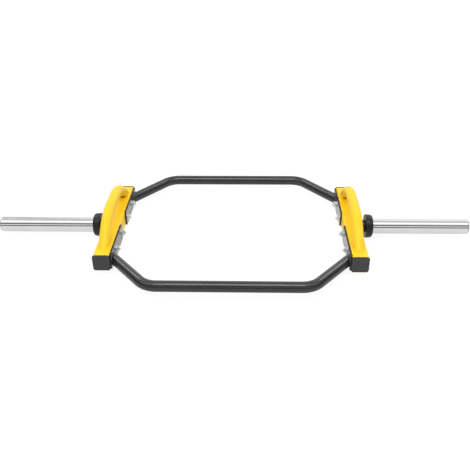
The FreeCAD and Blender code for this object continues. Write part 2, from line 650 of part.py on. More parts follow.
def build():
    """Make every sub-part and return the list."""
    pieces = [frame_tube("rear_tube", UNTURNED), frame_tube("front_tube", HALF_TURN_Z)]
    for corner, turn in CORNERS:
        pieces.append(flange_plate(f"{corner}_plate", turn))
        pieces.append(beam_cap(f"{corner}_cap", turn))
    for side, turn in SIDES:
        pieces.append(beam(f"{side}_beam", turn))
        pieces.append(handle(f"{side}_handle", turn))
        pieces.extend(sleeve_set(side, turn))
    pieces.extend([bolts(), nuts(), washers()])
    return pieces


def write(pieces):
    """Check the whole document, then write one file for each sub-part."""
    doc.recompute()
    for thing in doc.Objects:
        if "Invalid" in thing.State or "Error" in thing.State:
            raise RuntimeError(f"{thing.Label} failed: {thing.State}")
    for piece in pieces:
        if piece.Shape.isNull() or not piece.Shape.isValid():
            raise RuntimeError(f"{piece.Label} has no valid shape")
    os.makedirs("parts", exist_ok=True)
    for piece in pieces:
        piece.Shape.exportStep(f"parts/{piece.Label}.step")
        print(f"{piece.Label}: {len(piece.Shape.Solids)} solid, {piece.Shape.Volume:.0f} mm3")


write(build())
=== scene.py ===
"""Hex trap bar in a white studio: finishes, fasteners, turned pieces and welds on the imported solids.

Lengths are in metres. X runs along the loading sleeves, Y to the rear and Z up.
"""
import json
import math

import bmesh
import bpy
from mathutils import Matrix, Vector


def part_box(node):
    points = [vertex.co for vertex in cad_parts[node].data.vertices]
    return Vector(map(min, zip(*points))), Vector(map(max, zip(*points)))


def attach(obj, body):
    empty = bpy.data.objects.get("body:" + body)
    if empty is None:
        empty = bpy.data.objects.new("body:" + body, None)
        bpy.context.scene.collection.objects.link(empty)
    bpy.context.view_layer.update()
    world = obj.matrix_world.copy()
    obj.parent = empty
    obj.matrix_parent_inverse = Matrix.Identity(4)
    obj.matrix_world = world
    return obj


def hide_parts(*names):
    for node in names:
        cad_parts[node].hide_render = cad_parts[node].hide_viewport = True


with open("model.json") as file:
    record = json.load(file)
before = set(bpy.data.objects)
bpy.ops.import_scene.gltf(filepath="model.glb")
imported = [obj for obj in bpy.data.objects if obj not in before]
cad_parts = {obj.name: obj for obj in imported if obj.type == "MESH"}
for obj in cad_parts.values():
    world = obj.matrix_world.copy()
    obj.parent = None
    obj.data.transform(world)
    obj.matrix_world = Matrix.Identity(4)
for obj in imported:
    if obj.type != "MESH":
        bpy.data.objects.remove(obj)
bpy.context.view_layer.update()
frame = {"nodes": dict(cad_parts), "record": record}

# Places of the coordinates in a point
X, Y, Z = range(3)

# Camera, as fitted to the photograph's view of the bar
CAMERA_AZIMUTH = math.radians(1.86)
CAMERA_ELEVATION = math.radians(31.27)
CAMERA_ROLL = math.radians(-0.62)
CAMERA_DISTANCE = 2.0463
CAMERA_TARGET = Vector((0.0101, -0.0602, 0.0372))
CAMERA_SENSOR_MM = 36.0
CAMERA_LENS_MM = 48.0

# Places of the fasteners, along the beams
FIRST_BOLT_Y = 0.052
SECOND_BOLT_Y = 0.149

# Fasteners, drawn about the X axis with their outer end towards +X
RING_SEGMENTS = 48
BOLT_RADIUS = 0.005
BOLT_TIP_CHAMFER = 0.001
THREAD_PITCH = 0.0015
THREAD_DEPTH = 0.0009
THREAD_LENGTH = 0.030
THREAD_ROWS_PER_TURN = 6
THREAD_ROOT_FLAT = 1.15
HEAD_RIM_HEIGHT = 0.001
HEAD_DOME_STEPS = 6
SOCKET_ACROSS = 0.006
SOCKET_DEPTH = 0.003
SOCKET_LEAD_IN = 0.0003
NUT_ACROSS = 0.017
NUT_HEIGHT = 0.008
NUT_FACE_SHARE = 0.95
NUT_CHAMFER = math.radians(30)
NUT_BORE_CHAMFER = 0.0006
WASHER_INNER_RADIUS = 0.00525
WASHER_EDGE = 0.0003
BOLT_SHARP_ANGLE = math.radians(32)
NUT_SHARP_ANGLE = math.radians(25)
WASHER_SHARP_ANGLE = math.radians(25)

# Weld beads round the feet of the handles and the ends of the tubes
WELD_RADIUS = 0.0018
WELD_RIPPLE_PITCH = 0.0032
WELD_RIPPLE_SHARE = 0.16
WELD_PATH_POINTS = 96
WELD_STEPS_PER_RIPPLE = 8
WELD_SECTION_POINTS = 14

# Flange plates: broken edges, and how squarely a face has to look along X to be one of the two flat sides
PLATE_EDGE_BREAK = 0.0003
PLATE_EDGE_STEPS = 2
PLATE_EDGE_ANGLE = math.radians(60)
PLATE_SHARP_ANGLE = math.radians(30)
PLATE_SIDE_NORMAL = 0.9

# Sleeves: the bare inner end, and the tip with its broken edges and the ring of edges behind it
SLEEVE_BARE_END = 0.001
SLEEVE_TIP_START = 0.330
SLEEVE_TIP_SLOPE = 0.3
SLEEVE_TIP_EDGE_ANGLE = math.radians(30)
SLEEVE_EDGE_BREAK = 0.0006
SLEEVE_EDGE_STEPS = 3
SLEEVE_RING_BEHIND_TIP = 0.0012
SLEEVE_SHARP_ANGLE = math.radians(30)

# What counts as the same when the solids' meshes are worked on
SAME_POINT = 1e-6
SAME_LEVEL = 1e-5
SAME_FACE_ANGLE = math.radians(0.5)

# Share of a broken edge's profile that makes it round
ROUND_PROFILE = 0.5

# Painted shade in the crotch where a handle's leg leans over the beam: reach along X, Y and Z
CROTCH_SHADE_REACH = (0.014, 0.009, 0.008)
CROTCH_SHADE_CORE = 0.35
CROTCH_SHADE_UNEVEN = 0.25
CROTCH_SHADE_GRAIN = 0.004
CROTCH_SHADE_BROWN = (0.035, 0.006, 0.0005)

# Where a grain turns from its dark or smooth end to its light or rough end
GRAIN_LOW = 0.3
GRAIN_HIGH = 0.7

# Depths of the fine relief of the finishes
ORANGE_PEEL_DEPTH = 0.000008
POWDER_DEPTH = 0.000002
MOULDED_GRAIN_DEPTH = 0.00003
RUBBER_WAVE_DEPTH = 0.00018
RUBBER_GRAIN_DEPTH = 0.00003
CHROME_RING_DEPTH = 0.0000006
SCUFF_DEPTH = 0.00002
TURNING_MARK_DEPTH = 0.000015
ZINC_CLOUD_DEPTH = 0.00001
BRONZE_PORE_DEPTH = 0.00002

# Floor and surroundings: how bright they are to the eye, in reflections and as soft light
FLOOR_SIDE = 60.0
FLOOR_GLOW = 0.87
FLOOR_MIRRORED_GLOW = 0.62
FLOOR_FILL = 0.62
FLOOR_BOUNCE = 0.18
SKY_SEEN = 1.0
SKY_FILL = 0.90

# Softboxes and strip lights: place, what they face, size, turn in their own plane and radiance
REAR_SOFTBOX_TURN = math.radians(34)
SOFTBOXES = {
    "overhead_softbox": ((0.0, -1.02, 2.7), (0.0, 0.0, 0.0), (1.7, 1.1), 0.0, 4.0),
    "left_strip": ((-1.75, -0.80, 2.7), (-1.75, 0.0, 0.0), (1.8, 0.34), 0.0, 2.2),
    "right_strip": ((1.75, -0.78, 2.7), (1.75, 0.0, 0.0), (1.8, 0.30), 0.0, 2.2),
    "rear_left_softbox": ((-8.8, 9.0, 12.8), (0.0, 0.0, 0.0), (2.0, 6.5), -REAR_SOFTBOX_TURN, 7.0),
    "rear_right_softbox": ((8.8, 9.0, 12.8), (0.0, 0.0, 0.0), (2.0, 6.5), REAR_SOFTBOX_TURN, 7.0),
}

# Dark flags and pale cards: place of the middle, width and height, tilt, turn about the upright and grey
FLAT = 0.0
UPRIGHT = math.pi / 2
ACROSS = 0.0
ALONG = math.pi / 2
LOW_FLAG_GREY = 0.11
HIGH_FLAG_GREY = 0.20
SIDE_FLAG_GREY = 0.14
CEILING_GREY = 0.90
REAR_CARD_GREY = 0.55
FLAGS = {
    "low_flag": ((0.0, -4.0, 0.57), (12.0, 1.14), UPRIGHT, ACROSS, LOW_FLAG_GREY),
    "high_flag": ((0.0, -4.0, 3.4), (12.0, 2.6), UPRIGHT, ACROSS, HIGH_FLAG_GREY),
    "left_flag": ((-4.5, -1.0, 1.3), (6.0, 2.6), UPRIGHT, ALONG, SIDE_FLAG_GREY),
    "right_flag": ((4.5, -1.0, 1.3), (6.0, 2.6), UPRIGHT, ALONG, SIDE_FLAG_GREY),
    "ceiling_card": ((0.0, 0.85, 4.5), (12.0, 2.3), FLAT, ACROSS, CEILING_GREY),
    "rear_left_card": ((-7.4, 12.0, 10.2), (4.3, 13.2), UPRIGHT, ACROSS, REAR_CARD_GREY),
}


# Finishes

def crotch_place():
    """Where the inner side of the right handle's rear leg meets the top of the beam."""
    points = [vertex.co for vertex in frame["nodes"]["right_handle"].data.vertices]
    foot_z = min(point.z for point in points)
    foot = [point for point in points if point.z < foot_z + SAME_LEVEL and point.y > 0]
    middle_x = (min(point.x for point in foot) + max(point.x for point in foot)) / 2
    return middle_x, min(point.y for point in foot), foot_z


def calculate(tree, operation, first, second=None):
    """Add a sum on two sockets or numbers to a tree."""
    node = tree.nodes.new("ShaderNodeMath")
    node.operation = operation
    for socket, value in zip(node.inputs, (first, second)):
        if isinstance(value, bpy.types.NodeSocket):
            tree.links.new(value, socket)
        elif value is not None:
            socket.default_value = value
    return node.outputs["Value"]


def new_finish(name, roughness, metallic=0.0):
    """Start a finish of an even roughness, with its node tree, its shader and the piece's own coordinates."""
    material = bpy.data.materials.new(name)
    material.use_nodes = True
    tree = material.node_tree
    shader = tree.nodes["Principled BSDF"]
    shader.inputs["Roughness"].default_value = roughness
    shader.inputs["Metallic"].default_value = metallic
    place = tree.nodes.new("ShaderNodeTexCoord").outputs["Object"]
    return material, tree, shader, place


def grain(tree, place, size, detail=2.0):
    """Noise whose grains are about as large as the size."""
    noise = tree.nodes.new("ShaderNodeTexNoise")
    noise.inputs["Scale"].default_value = 1.0 / size
    noise.inputs["Detail"].default_value = detail
    tree.links.new(place, noise.inputs["Vector"])
    return noise.outputs["Fac"]


def stretched(tree, place, scale):
    """The piece's coordinates, stretched along its axes."""
    mapping = tree.nodes.new("ShaderNodeMapping")
    mapping.inputs["Scale"].default_value = scale
    tree.links.new(place, mapping.inputs["Vector"])
    return mapping.outputs["Vector"]


def shade(tree, shader, pattern, dark, light):
    """Vary the colour of a finish between two shades with a pattern."""
    ramp = tree.nodes.new("ShaderNodeValToRGB")
    ramp.color_ramp.elements[0].position = GRAIN_LOW
    ramp.color_ramp.elements[0].color = (*dark, 1.0)
    ramp.color_ramp.elements[1].position = GRAIN_HIGH
    ramp.color_ramp.elements[1].color = (*light, 1.0)
    tree.links.new(pattern, ramp.inputs["Fac"])
    tree.links.new(ramp.outputs["Color"], shader.inputs["Base Color"])


def gloss(tree, shader, pattern, smooth, rough):
    """Vary the roughness of a finish with a pattern."""
    spread = tree.nodes.new("ShaderNodeMapRange")
    spread.inputs["From Min"].default_value = GRAIN_LOW
    spread.inputs["From Max"].default_value = GRAIN_HIGH
    spread.inputs["To Min"].default_value = smooth
    spread.inputs["To Max"].default_value = rough
    tree.links.new(pattern, spread.inputs["Value"])
    tree.links.new(spread.outputs["Result"], shader.inputs["Roughness"])


def relief(tree, shader, *layers):
    """Raise a finish by layers of pattern and depth, one on the other."""
    normal = None
    for pattern, depth in layers:
        bump = tree.nodes.new("ShaderNodeBump")
        bump.inputs["Distance"].default_value = depth
        tree.links.new(pattern, bump.inputs["Height"])
        if normal is not None:
            tree.links.new(normal, bump.inputs["Normal"])
        normal = bump.outputs["Normal"]
    tree.links.new(normal, shader.inputs["Normal"])


def powder_coat(name, dark, light, smooth, rough, shine, lacquer=0.0):
    """Baked powder coat: even colour, a soft gloss and a fine orange peel."""
    material, tree, shader, place = new_finish(name, rough)
    shader.inputs["Specular IOR Level"].default_value = shine
    shader.inputs["Coat Weight"].default_value = lacquer
    shader.inputs["Coat Roughness"].default_value = smooth
    shade(tree, shader, grain(tree, place, size=0.06), dark, light)
    gloss(tree, shader, grain(tree, place, size=0.012), smooth, rough)
    orange_peel = grain(tree, place, size=0.0022)
    powder = grain(tree, place, size=0.0006)
    relief(tree, shader, (orange_peel, ORANGE_PEEL_DEPTH), (powder, POWDER_DEPTH))
    return material


def frame_yellow():
    """Yellow powder coat, with painted shade darkening the crotch of each handle's leg."""
    material = powder_coat("yellow_coat", dark=(0.93, 0.57, 0.006), light=(0.96, 0.61, 0.009),
                           smooth=0.30, rough=0.40, shine=0.30)
    tree = material.node_tree
    shader = tree.nodes["Principled BSDF"]
    unshaded_colour = shader.inputs["Base Color"].links[0].from_socket
    place = tree.nodes.new("ShaderNodeTexCoord").outputs["Object"]
    quarter = tree.nodes.new("ShaderNodeVectorMath")
    quarter.operation = "ABSOLUTE"
    tree.links.new(place, quarter.inputs[0])
    from_crotch = tree.nodes.new("ShaderNodeVectorMath")
    from_crotch.operation = "SUBTRACT"
    from_crotch.inputs[1].default_value = crotch_place()
    tree.links.new(quarter.outputs["Vector"], from_crotch.inputs[0])
    spread = tree.nodes.new("ShaderNodeVectorMath")
    spread.operation = "DIVIDE"
    spread.inputs[1].default_value = CROTCH_SHADE_REACH
    tree.links.new(from_crotch.outputs["Vector"], spread.inputs[0])
    distance = tree.nodes.new("ShaderNodeVectorMath")
    distance.operation = "LENGTH"
    tree.links.new(spread.outputs["Vector"], distance.inputs[0])
    uneven = calculate(tree, "MULTIPLY", grain(tree, place, CROTCH_SHADE_GRAIN), CROTCH_SHADE_UNEVEN)
    amount = tree.nodes.new("ShaderNodeMapRange")
    amount.interpolation_type = "SMOOTHSTEP"
    amount.inputs["From Min"].default_value = CROTCH_SHADE_CORE
    amount.inputs["From Max"].default_value = 1.0
    amount.inputs["To Min"].default_value = 1.0
    amount.inputs["To Max"].default_value = 0.0
    tree.links.new(calculate(tree, "ADD", distance.outputs["Value"], uneven), amount.inputs["Value"])
    # painted shade: the coat's colour is mixed towards brown near the crotch, where shade falls
    painted_shade = tree.nodes.new("ShaderNodeMix")
    painted_shade.data_type = "RGBA"
    painted_shade.blend_type = "MIX"
    painted_shade.inputs["B"].default_value = (*CROTCH_SHADE_BROWN, 1.0)
    tree.links.new(amount.outputs["Result"], painted_shade.inputs["Factor"])
    tree.links.new(unshaded_colour, painted_shade.inputs["A"])
    tree.links.new(painted_shade.outputs["Result"], shader.inputs["Base Color"])
    return material


def moulded_plastic():
    """Black plastic of the beam caps and sleeve plugs, with a fine moulded grain."""
    material, tree, shader, place = new_finish("moulded_plastic", 0.5)
    shade(tree, shader, grain(tree, place, size=0.01),
          dark=(0.035, 0.035, 0.036), light=(0.047, 0.047, 0.048))
    gloss(tree, shader, grain(tree, place, size=0.004), smooth=0.42, rough=0.55)
    relief(tree, shader, (grain(tree, place, size=0.0007, detail=4.0), MOULDED_GRAIN_DEPTH))
    return material


def collar_rubber():
    """Black rubber of the collars, slightly uneven, with a dull shine."""
    material, tree, shader, place = new_finish("collar_rubber", 0.45)
    shader.inputs["Specular IOR Level"].default_value = 0.38
    shade(tree, shader, grain(tree, place, size=0.008),
          dark=(0.008, 0.008, 0.009), light=(0.014, 0.014, 0.015))
    gloss(tree, shader, grain(tree, place, size=0.005), smooth=0.26, rough=0.44)
    waves = grain(tree, place, size=0.006)
    fine_grain = grain(tree, place, size=0.0008, detail=4.0)
    relief(tree, shader, (waves, RUBBER_WAVE_DEPTH), (fine_grain, RUBBER_GRAIN_DEPTH))
    return material


def sleeve_chrome():
    """Polished hard chrome with the faint rings that turning left under it."""
    material, tree, shader, place = new_finish("sleeve_chrome", 0.06, metallic=1.0)
    rings = grain(tree, stretched(tree, place, scale=(1.0, 0.02, 0.02)), size=0.0008, detail=1.0)
    shade(tree, shader, grain(tree, place, size=0.05), dark=(0.80, 0.80, 0.805), light=(0.84, 0.84, 0.845))
    gloss(tree, shader, grain(tree, place, size=0.02), smooth=0.075, rough=0.085)
    relief(tree, shader, (rings, CHROME_RING_DEPTH))
    return material


def scuffed_chrome_with_painted_shade():
    """Chrome of the sleeve tips: rougher where the plates that are slid on over them scuff it, and darkened
    with painted shade.
    """
    material, tree, shader, place = new_finish("scuffed_chrome_with_painted_shade", 0.4, metallic=1.0)
    # painted shade: the tip's chrome gets a much darker colour than the rest of the sleeve
    shade(tree, shader, grain(tree, place, size=0.003, detail=4.0),
          dark=(0.08, 0.08, 0.085), light=(0.20, 0.20, 0.205))
    gloss(tree, shader, grain(tree, place, size=0.002, detail=4.0), smooth=0.30, rough=0.48)
    relief(tree, shader, (grain(tree, place, size=0.0015, detail=4.0), SCUFF_DEPTH))
    return material


def turned_steel():
    """Dark oiled steel of the axles, with turning marks round them."""
    material, tree, shader, place = new_finish("turned_steel", 0.38, metallic=0.7)
    rings = grain(tree, stretched(tree, place, scale=(1.0, 0.05, 0.05)), size=0.0009, detail=3.0)
    shade(tree, shader, grain(tree, place, size=0.01),
          dark=(0.030, 0.030, 0.032), light=(0.055, 0.055, 0.058))
    gloss(tree, shader, rings, smooth=0.30, rough=0.46)
    relief(tree, shader, (rings, TURNING_MARK_DEPTH))
    return material


def zinc_plate():
    """Bright zinc plate of the fasteners, slightly clouded."""
    material, tree, shader, place = new_finish("zinc_plate", 0.25, metallic=1.0)
    shade(tree, shader, grain(tree, place, size=0.004), dark=(0.86, 0.91, 0.91), light=(0.94, 0.97, 0.97))
    gloss(tree, shader, grain(tree, place, size=0.0015), smooth=0.32, rough=0.46)
    relief(tree, shader, (grain(tree, place, size=0.0008), ZINC_CLOUD_DEPTH))
    return material


def sintered_bronze():
    """Porous bronze of the bushes."""
    material, tree, shader, place = new_finish("sintered_bronze", 0.45, metallic=1.0)
    shade(tree, shader, grain(tree, place, size=0.0012, detail=4.0),
          dark=(0.33, 0.18, 0.07), light=(0.60, 0.37, 0.16))
    gloss(tree, shader, grain(tree, place, size=0.002), smooth=0.38, rough=0.55)
    relief(tree, shader, (grain(tree, place, size=0.0005), BRONZE_PORE_DEPTH))
    return material


FINISHES = {
    "yellow_coat": frame_yellow(),
    "black_coat": powder_coat("black_coat", dark=(0.014, 0.014, 0.015), light=(0.019, 0.019, 0.020),
                              smooth=0.19, rough=0.25, shine=0.7),
    "black_plastic": moulded_plastic(),
    "black_rubber": collar_rubber(),
    "chrome": sleeve_chrome(),
    "dark_steel": turned_steel(),
    "bright_zinc": zinc_plate(),
    "bronze": sintered_bronze(),
}
FLANGE_SIDE_COAT = powder_coat("flange_face_coat", dark=(0.022, 0.022, 0.023), light=(0.028, 0.028, 0.029),
                               smooth=0.12, rough=0.18, shine=0.5, lacquer=0.5)
FLANGE_EDGE_COAT = powder_coat("flange_edge_coat", dark=(0.014, 0.014, 0.015), light=(0.020, 0.020, 0.021),
                               smooth=0.45, rough=0.55, shine=0.25)
SLEEVE_TIP_SCUFF_AND_SHADE = scuffed_chrome_with_painted_shade()


# Meshes

def new_piece(name, mesh, body, slot, *replaced):
    """Put a mesh into the scene as a piece that rides on a body."""
    piece = bpy.data.objects.new(name, mesh)
    bpy.context.scene.collection.objects.link(piece)
    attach(piece, body)
    if replaced:
        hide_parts(*replaced)
    return piece


def skin_rings(name, rings, looped=False):
    """Skin a stack of rings of points into a closed mesh, open in the middle where it is looped."""
    mesh = bmesh.new()
    stack = [[mesh.verts.new(point) for point in ring] for ring in rings]
    count = len(stack[0])
    pairs = list(zip(stack, stack[1:]))
    if looped:
        pairs.append((stack[-1], stack[0]))
    for lower, upper in pairs:
        for index in range(count):
            following = (index + 1) % count
            mesh.faces.new((lower[index], lower[following], upper[following], upper[index]))
    if not looped:
        mesh.faces.new(stack[0])
        mesh.faces.new(stack[-1])
    bmesh.ops.recalc_face_normals(mesh, faces=mesh.faces)
    result = bpy.data.meshes.new(name)
    mesh.to_mesh(result)
    mesh.free()
    return result


def merged_copy(node):
    """A copy of a solid's mesh to work on, with its loose triangles joined."""
    work = bmesh.new()
    work.from_mesh(frame["nodes"][node].data)
    bmesh.ops.remove_doubles(work, verts=work.verts, dist=SAME_POINT)
    return work


def smooth_by_angle(mesh, angle):
    """Shade a mesh smooth, with the edges sharper than the angle kept sharp."""
    mesh.shade_smooth()
    mesh.set_sharp_from_angle(angle=angle)


def finished_mesh(work, name, angle):
    """Turn a worked copy into a mesh that is smooth, but for edges sharper than the angle."""
    mesh = bpy.data.meshes.new(name)
    work.to_mesh(mesh)
    work.free()
    stored = mesh.attributes.get("custom_normal")
    if stored is not None:
        mesh.attributes.remove(stored)
    smooth_by_angle(mesh, angle)
    return mesh


def ring(x, radius_at):
    """Points round the X axis at a place along it, with a radius for each angle."""
    angles = [2 * math.pi * index / RING_SEGMENTS for index in range(RING_SEGMENTS)]
    return [Vector((x, radius_at(angle) * math.cos(angle), radius_at(angle) * math.sin(angle)))
            for angle in angles]


def round_ring(x, radius):
    """A circle about the X axis."""
    return ring(x, lambda angle: radius)


def hexagon_radius(angle, across):
    """Distance from the middle of a hexagon to its side, at an angle from a corner."""
    sixth = math.pi / 3
    return across / 2 / math.cos(angle % sixth - sixth / 2)


def thread_radius(angle, x, start):
    """Radius of a bolt's thread at an angle and a place along it, with its tip chamfered."""
    turn = ((x - start) / THREAD_PITCH - angle / (2 * math.pi)) % 1.0
    crest = BOLT_RADIUS - THREAD_DEPTH * min(1.0, abs(2 * turn - 1) * THREAD_ROOT_FLAT)
    return min(crest, BOLT_RADIUS - BOLT_TIP_CHAMFER + (x - start))


def bolt_mesh(tip_x, seat_x, top_x, head_radius):
    """A bolt with a real thread, a low domed head and a key socket."""
    rows = round(THREAD_LENGTH / THREAD_PITCH * THREAD_ROWS_PER_TURN)
    rings = []
    for row in range(rows + 1):
        x = tip_x + THREAD_LENGTH * row / rows
        rings.append(ring(x, lambda angle, x=x: thread_radius(angle, x, tip_x)))
    rings.append(round_ring(tip_x + THREAD_LENGTH + THREAD_DEPTH, BOLT_RADIUS))
    rings.append(round_ring(seat_x, BOLT_RADIUS))
    rings.append(round_ring(seat_x, head_radius))
    dome = top_x - seat_x - HEAD_RIM_HEIGHT
    for step in range(HEAD_DOME_STEPS + 1):
        angle = math.pi / 2 * step / HEAD_DOME_STEPS
        rings.append(round_ring(seat_x + HEAD_RIM_HEIGHT + dome * math.sin(angle),
                                head_radius - dome * (1 - math.cos(angle))))
    rings.append(round_ring(top_x, SOCKET_ACROSS / math.sqrt(3) + SOCKET_LEAD_IN))
    for depth in (SOCKET_LEAD_IN, SOCKET_DEPTH):
        rings.append(ring(top_x - depth, lambda angle: hexagon_radius(angle, SOCKET_ACROSS)))
    mesh = skin_rings("bolt", rings)
    smooth_by_angle(mesh, BOLT_SHARP_ANGLE)
    return mesh


def nut_mesh(seat_x):
    """A nut with both its faces chamfered, on the inner side of its seat."""
    face = NUT_FACE_SHARE * NUT_ACROSS / 2
    end_x = seat_x - NUT_HEIGHT

    def corner(angle):
        return hexagon_radius(angle, NUT_ACROSS)

    def chamfered(x, inwards):
        points = ring(x, corner)
        for point in points:
            point.x += inwards * (point.yz.length - face) * math.tan(NUT_CHAMFER)
        return points

    bore = BOLT_RADIUS
    mesh = skin_rings("nut", [
        round_ring(end_x, bore + NUT_BORE_CHAMFER),
        round_ring(end_x, face),
        chamfered(end_x, 1),
        chamfered(seat_x, -1),
        round_ring(seat_x, face),
        round_ring(seat_x, bore + NUT_BORE_CHAMFER),
        round_ring(seat_x - NUT_BORE_CHAMFER, bore),
        round_ring(end_x + NUT_BORE_CHAMFER, bore),
    ], looped=True)
    smooth_by_angle(mesh, NUT_SHARP_ANGLE)
    return mesh


def washer_mesh(seat_x, end_x, radius):
    """A flat washer with its outer edges broken."""
    mesh = skin_rings("washer", [
        round_ring(seat_x, WASHER_INNER_RADIUS),
        round_ring(seat_x, radius - WASHER_EDGE),
        round_ring(seat_x - WASHER_EDGE, radius),
        round_ring(end_x + WASHER_EDGE, radius),
        round_ring(end_x, radius - WASHER_EDGE),
        round_ring(end_x, WASHER_INNER_RADIUS),
    ], looped=True)
    smooth_by_angle(mesh, WASHER_SHARP_ANGLE)
    return mesh


# Node trees

def new_tree(name, **inputs):
    """Start a geometry node tree with named inputs, given by the kind of their socket."""
    tree = bpy.data.node_groups.new(name, "GeometryNodeTree")
    tree.interface.new_socket("Geometry", in_out="INPUT", socket_type="NodeSocketGeometry")
    for label, kind in inputs.items():
        tree.interface.new_socket(label, in_out="INPUT", socket_type=f"NodeSocket{kind}")
    tree.interface.new_socket("Geometry", in_out="OUTPUT", socket_type="NodeSocketGeometry")
    given = tree.nodes.new("NodeGroupInput").outputs
    return tree, given


def finish_tree(tree, given, geometry):
    """End a tree: make its instances real and give them their finish."""
    real = tree.nodes.new("GeometryNodeRealizeInstances")
    coated = tree.nodes.new("GeometryNodeSetMaterial")
    result = tree.nodes.new("NodeGroupOutput")
    tree.links.new(geometry, real.inputs["Geometry"])
    tree.links.new(real.outputs["Geometry"], coated.inputs["Geometry"])
    tree.links.new(given["finish"], coated.inputs["Material"])
    tree.links.new(coated.outputs["Geometry"], result.inputs["Geometry"])


def bolt_places_tree():
    """Repeats one fastener at the eight bolts: two to a plate, front and rear, right and left."""
    tree, given = new_tree("bolt_places", first_bolt="Float", second_bolt="Float", axis_height="Float",
                           finish="Material")
    points = tree.nodes.new("GeometryNodeJoinGeometry")
    for side in (1, -1):
        row = tree.nodes.new("GeometryNodeMeshLine")
        row.mode = "END_POINTS"
        row.inputs["Count"].default_value = 2
        for label, end in (("first_bolt", "Start Location"), ("second_bolt", "Offset")):
            spot = tree.nodes.new("ShaderNodeCombineXYZ")
            tree.links.new(calculate(tree, "MULTIPLY", given[label], side), spot.inputs["Y"])
            tree.links.new(given["axis_height"], spot.inputs["Z"])
            tree.links.new(spot.outputs["Vector"], row.inputs[end])
        tree.links.new(row.outputs["Mesh"], points.inputs["Geometry"])
    copies = tree.nodes.new("GeometryNodeInstanceOnPoints")
    tree.links.new(points.outputs["Geometry"], copies.inputs["Points"])
    tree.links.new(given["Geometry"], copies.inputs["Instance"])
    left = tree.nodes.new("GeometryNodeTransform")
    left.inputs["Rotation"].default_value = (0, 0, math.pi)
    tree.links.new(copies.outputs["Instances"], left.inputs["Geometry"])
    both = tree.nodes.new("GeometryNodeJoinGeometry")
    tree.links.new(copies.outputs["Instances"], both.inputs["Geometry"])
    tree.links.new(left.outputs["Geometry"], both.inputs["Geometry"])
    finish_tree(tree, given, both.outputs["Geometry"])
    return tree


def weld_bead_tree():
    """Lays a rippled weld bead along closed loops of edges."""
    tree, given = new_tree("weld_bead", bead_radius="Float", ripple_pitch="Float", ripple_share="Float",
                           finish="Material")
    path = tree.nodes.new("GeometryNodeMeshToCurve")
    tree.links.new(given["Geometry"], path.inputs["Mesh"])
    steps = tree.nodes.new("GeometryNodeResampleCurve")
    steps.mode = "LENGTH"
    tree.links.new(path.outputs["Curve"], steps.inputs["Curve"])
    tree.links.new(calculate(tree, "DIVIDE", given["ripple_pitch"], WELD_STEPS_PER_RIPPLE),
                   steps.inputs["Length"])
    along = tree.nodes.new("GeometryNodeSplineParameter").outputs["Length"]
    turns = calculate(tree, "MULTIPLY", calculate(tree, "DIVIDE", along, given["ripple_pitch"]), math.pi)
    wave = calculate(tree, "ABSOLUTE", calculate(tree, "SINE", turns))
    swell = calculate(tree, "ADD", 1.0, calculate(tree, "MULTIPLY", wave, given["ripple_share"]))
    section = tree.nodes.new("GeometryNodeCurvePrimitiveCircle")
    section.inputs["Resolution"].default_value = WELD_SECTION_POINTS
    section.inputs["Radius"].default_value = 1.0
    bead = tree.nodes.new("GeometryNodeCurveToMesh")
    tree.links.new(steps.outputs["Curve"], bead.inputs["Curve"])
    tree.links.new(section.outputs["Curve"], bead.inputs["Profile Curve"])
    tree.links.new(calculate(tree, "MULTIPLY", given["bead_radius"], swell), bead.inputs["Scale"])
    smooth = tree.nodes.new("GeometryNodeSetShadeSmooth")
    tree.links.new(bead.outputs["Mesh"], smooth.inputs["Geometry"])
    finish_tree(tree, given, smooth.outputs["Geometry"])
    return tree


def run_tree(mesh, tree, **values):
    """Run a node tree on a mesh once, and return the result as a plain mesh."""
    carrier = bpy.data.objects.new(f"{mesh.name}_carrier", mesh)
    bpy.context.scene.collection.objects.link(carrier)
    modifier = carrier.modifiers.new(tree.name, "NODES")
    modifier.node_group = tree
    for socket in tree.interface.items_tree:
        if socket.in_out == "INPUT" and socket.name in values:
            modifier[socket.identifier] = values[socket.name]
    evaluated = carrier.evaluated_get(bpy.context.evaluated_depsgraph_get())
    result = bpy.data.meshes.new_from_object(evaluated)
    result.name = f"{mesh.name}_{tree.name}"
    bpy.data.objects.remove(carrier)
    return result


# Pieces

def fasteners():
    """Bolts, nuts and washers at the eight holes of the plates."""
    low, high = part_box("bolts")
    axis_height = (low.z + high.z) / 2
    head_radius = (high.z - low.z) / 2
    plate_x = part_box("front_right_plate")[0].x
    nut_seat_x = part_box("nuts")[1].x
    beam_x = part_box("right_beam")[1].x
    washer_low, washer_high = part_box("washers")
    washer_radius = (washer_high.z - washer_low.z) / 2
    tip_x = min(abs(vertex.co.x) for vertex in frame["nodes"]["bolts"].data.vertices)
    drawn = {
        "bolts": bolt_mesh(tip_x, beam_x, high.x, head_radius),
        "nuts": nut_mesh(nut_seat_x),
        "washers": washer_mesh(plate_x, nut_seat_x, washer_radius),
    }
    tree = bolt_places_tree()
    for node, mesh in drawn.items():
        placed = run_tree(mesh, tree, first_bolt=FIRST_BOLT_Y, second_bolt=SECOND_BOLT_Y,
                          axis_height=axis_height, finish=FINISHES["bright_zinc"])
        new_piece(f"zinc_{node}", placed, "frame", "bright_zinc", node)


def cut_ends(node, axis, across):
    """Centres and half sizes of the flat cuts at a tube's two ends, which are told apart along across.

    A cut is square to the axis. It lies furthest out if the axis also tells the ends apart, or else lowest.
    """
    points = [vertex.co for vertex in frame["nodes"][node].data.vertices]
    ends = []
    for sign in (1, -1):
        side = [point for point in points if point[across] * sign > 0]
        if axis == across:
            level = sign * max(abs(point[axis]) for point in side)
        else:
            level = min(point[axis] for point in side)
        flat = [point for point in side if abs(point[axis] - level) < SAME_LEVEL]
        low = Vector([min(point[k] for point in flat) for k in (X, Y, Z)])
        high = Vector([max(point[k] for point in flat) for k in (X, Y, Z)])
        ends.append(((low + high) / 2, (high - low) / 2))
    return ends


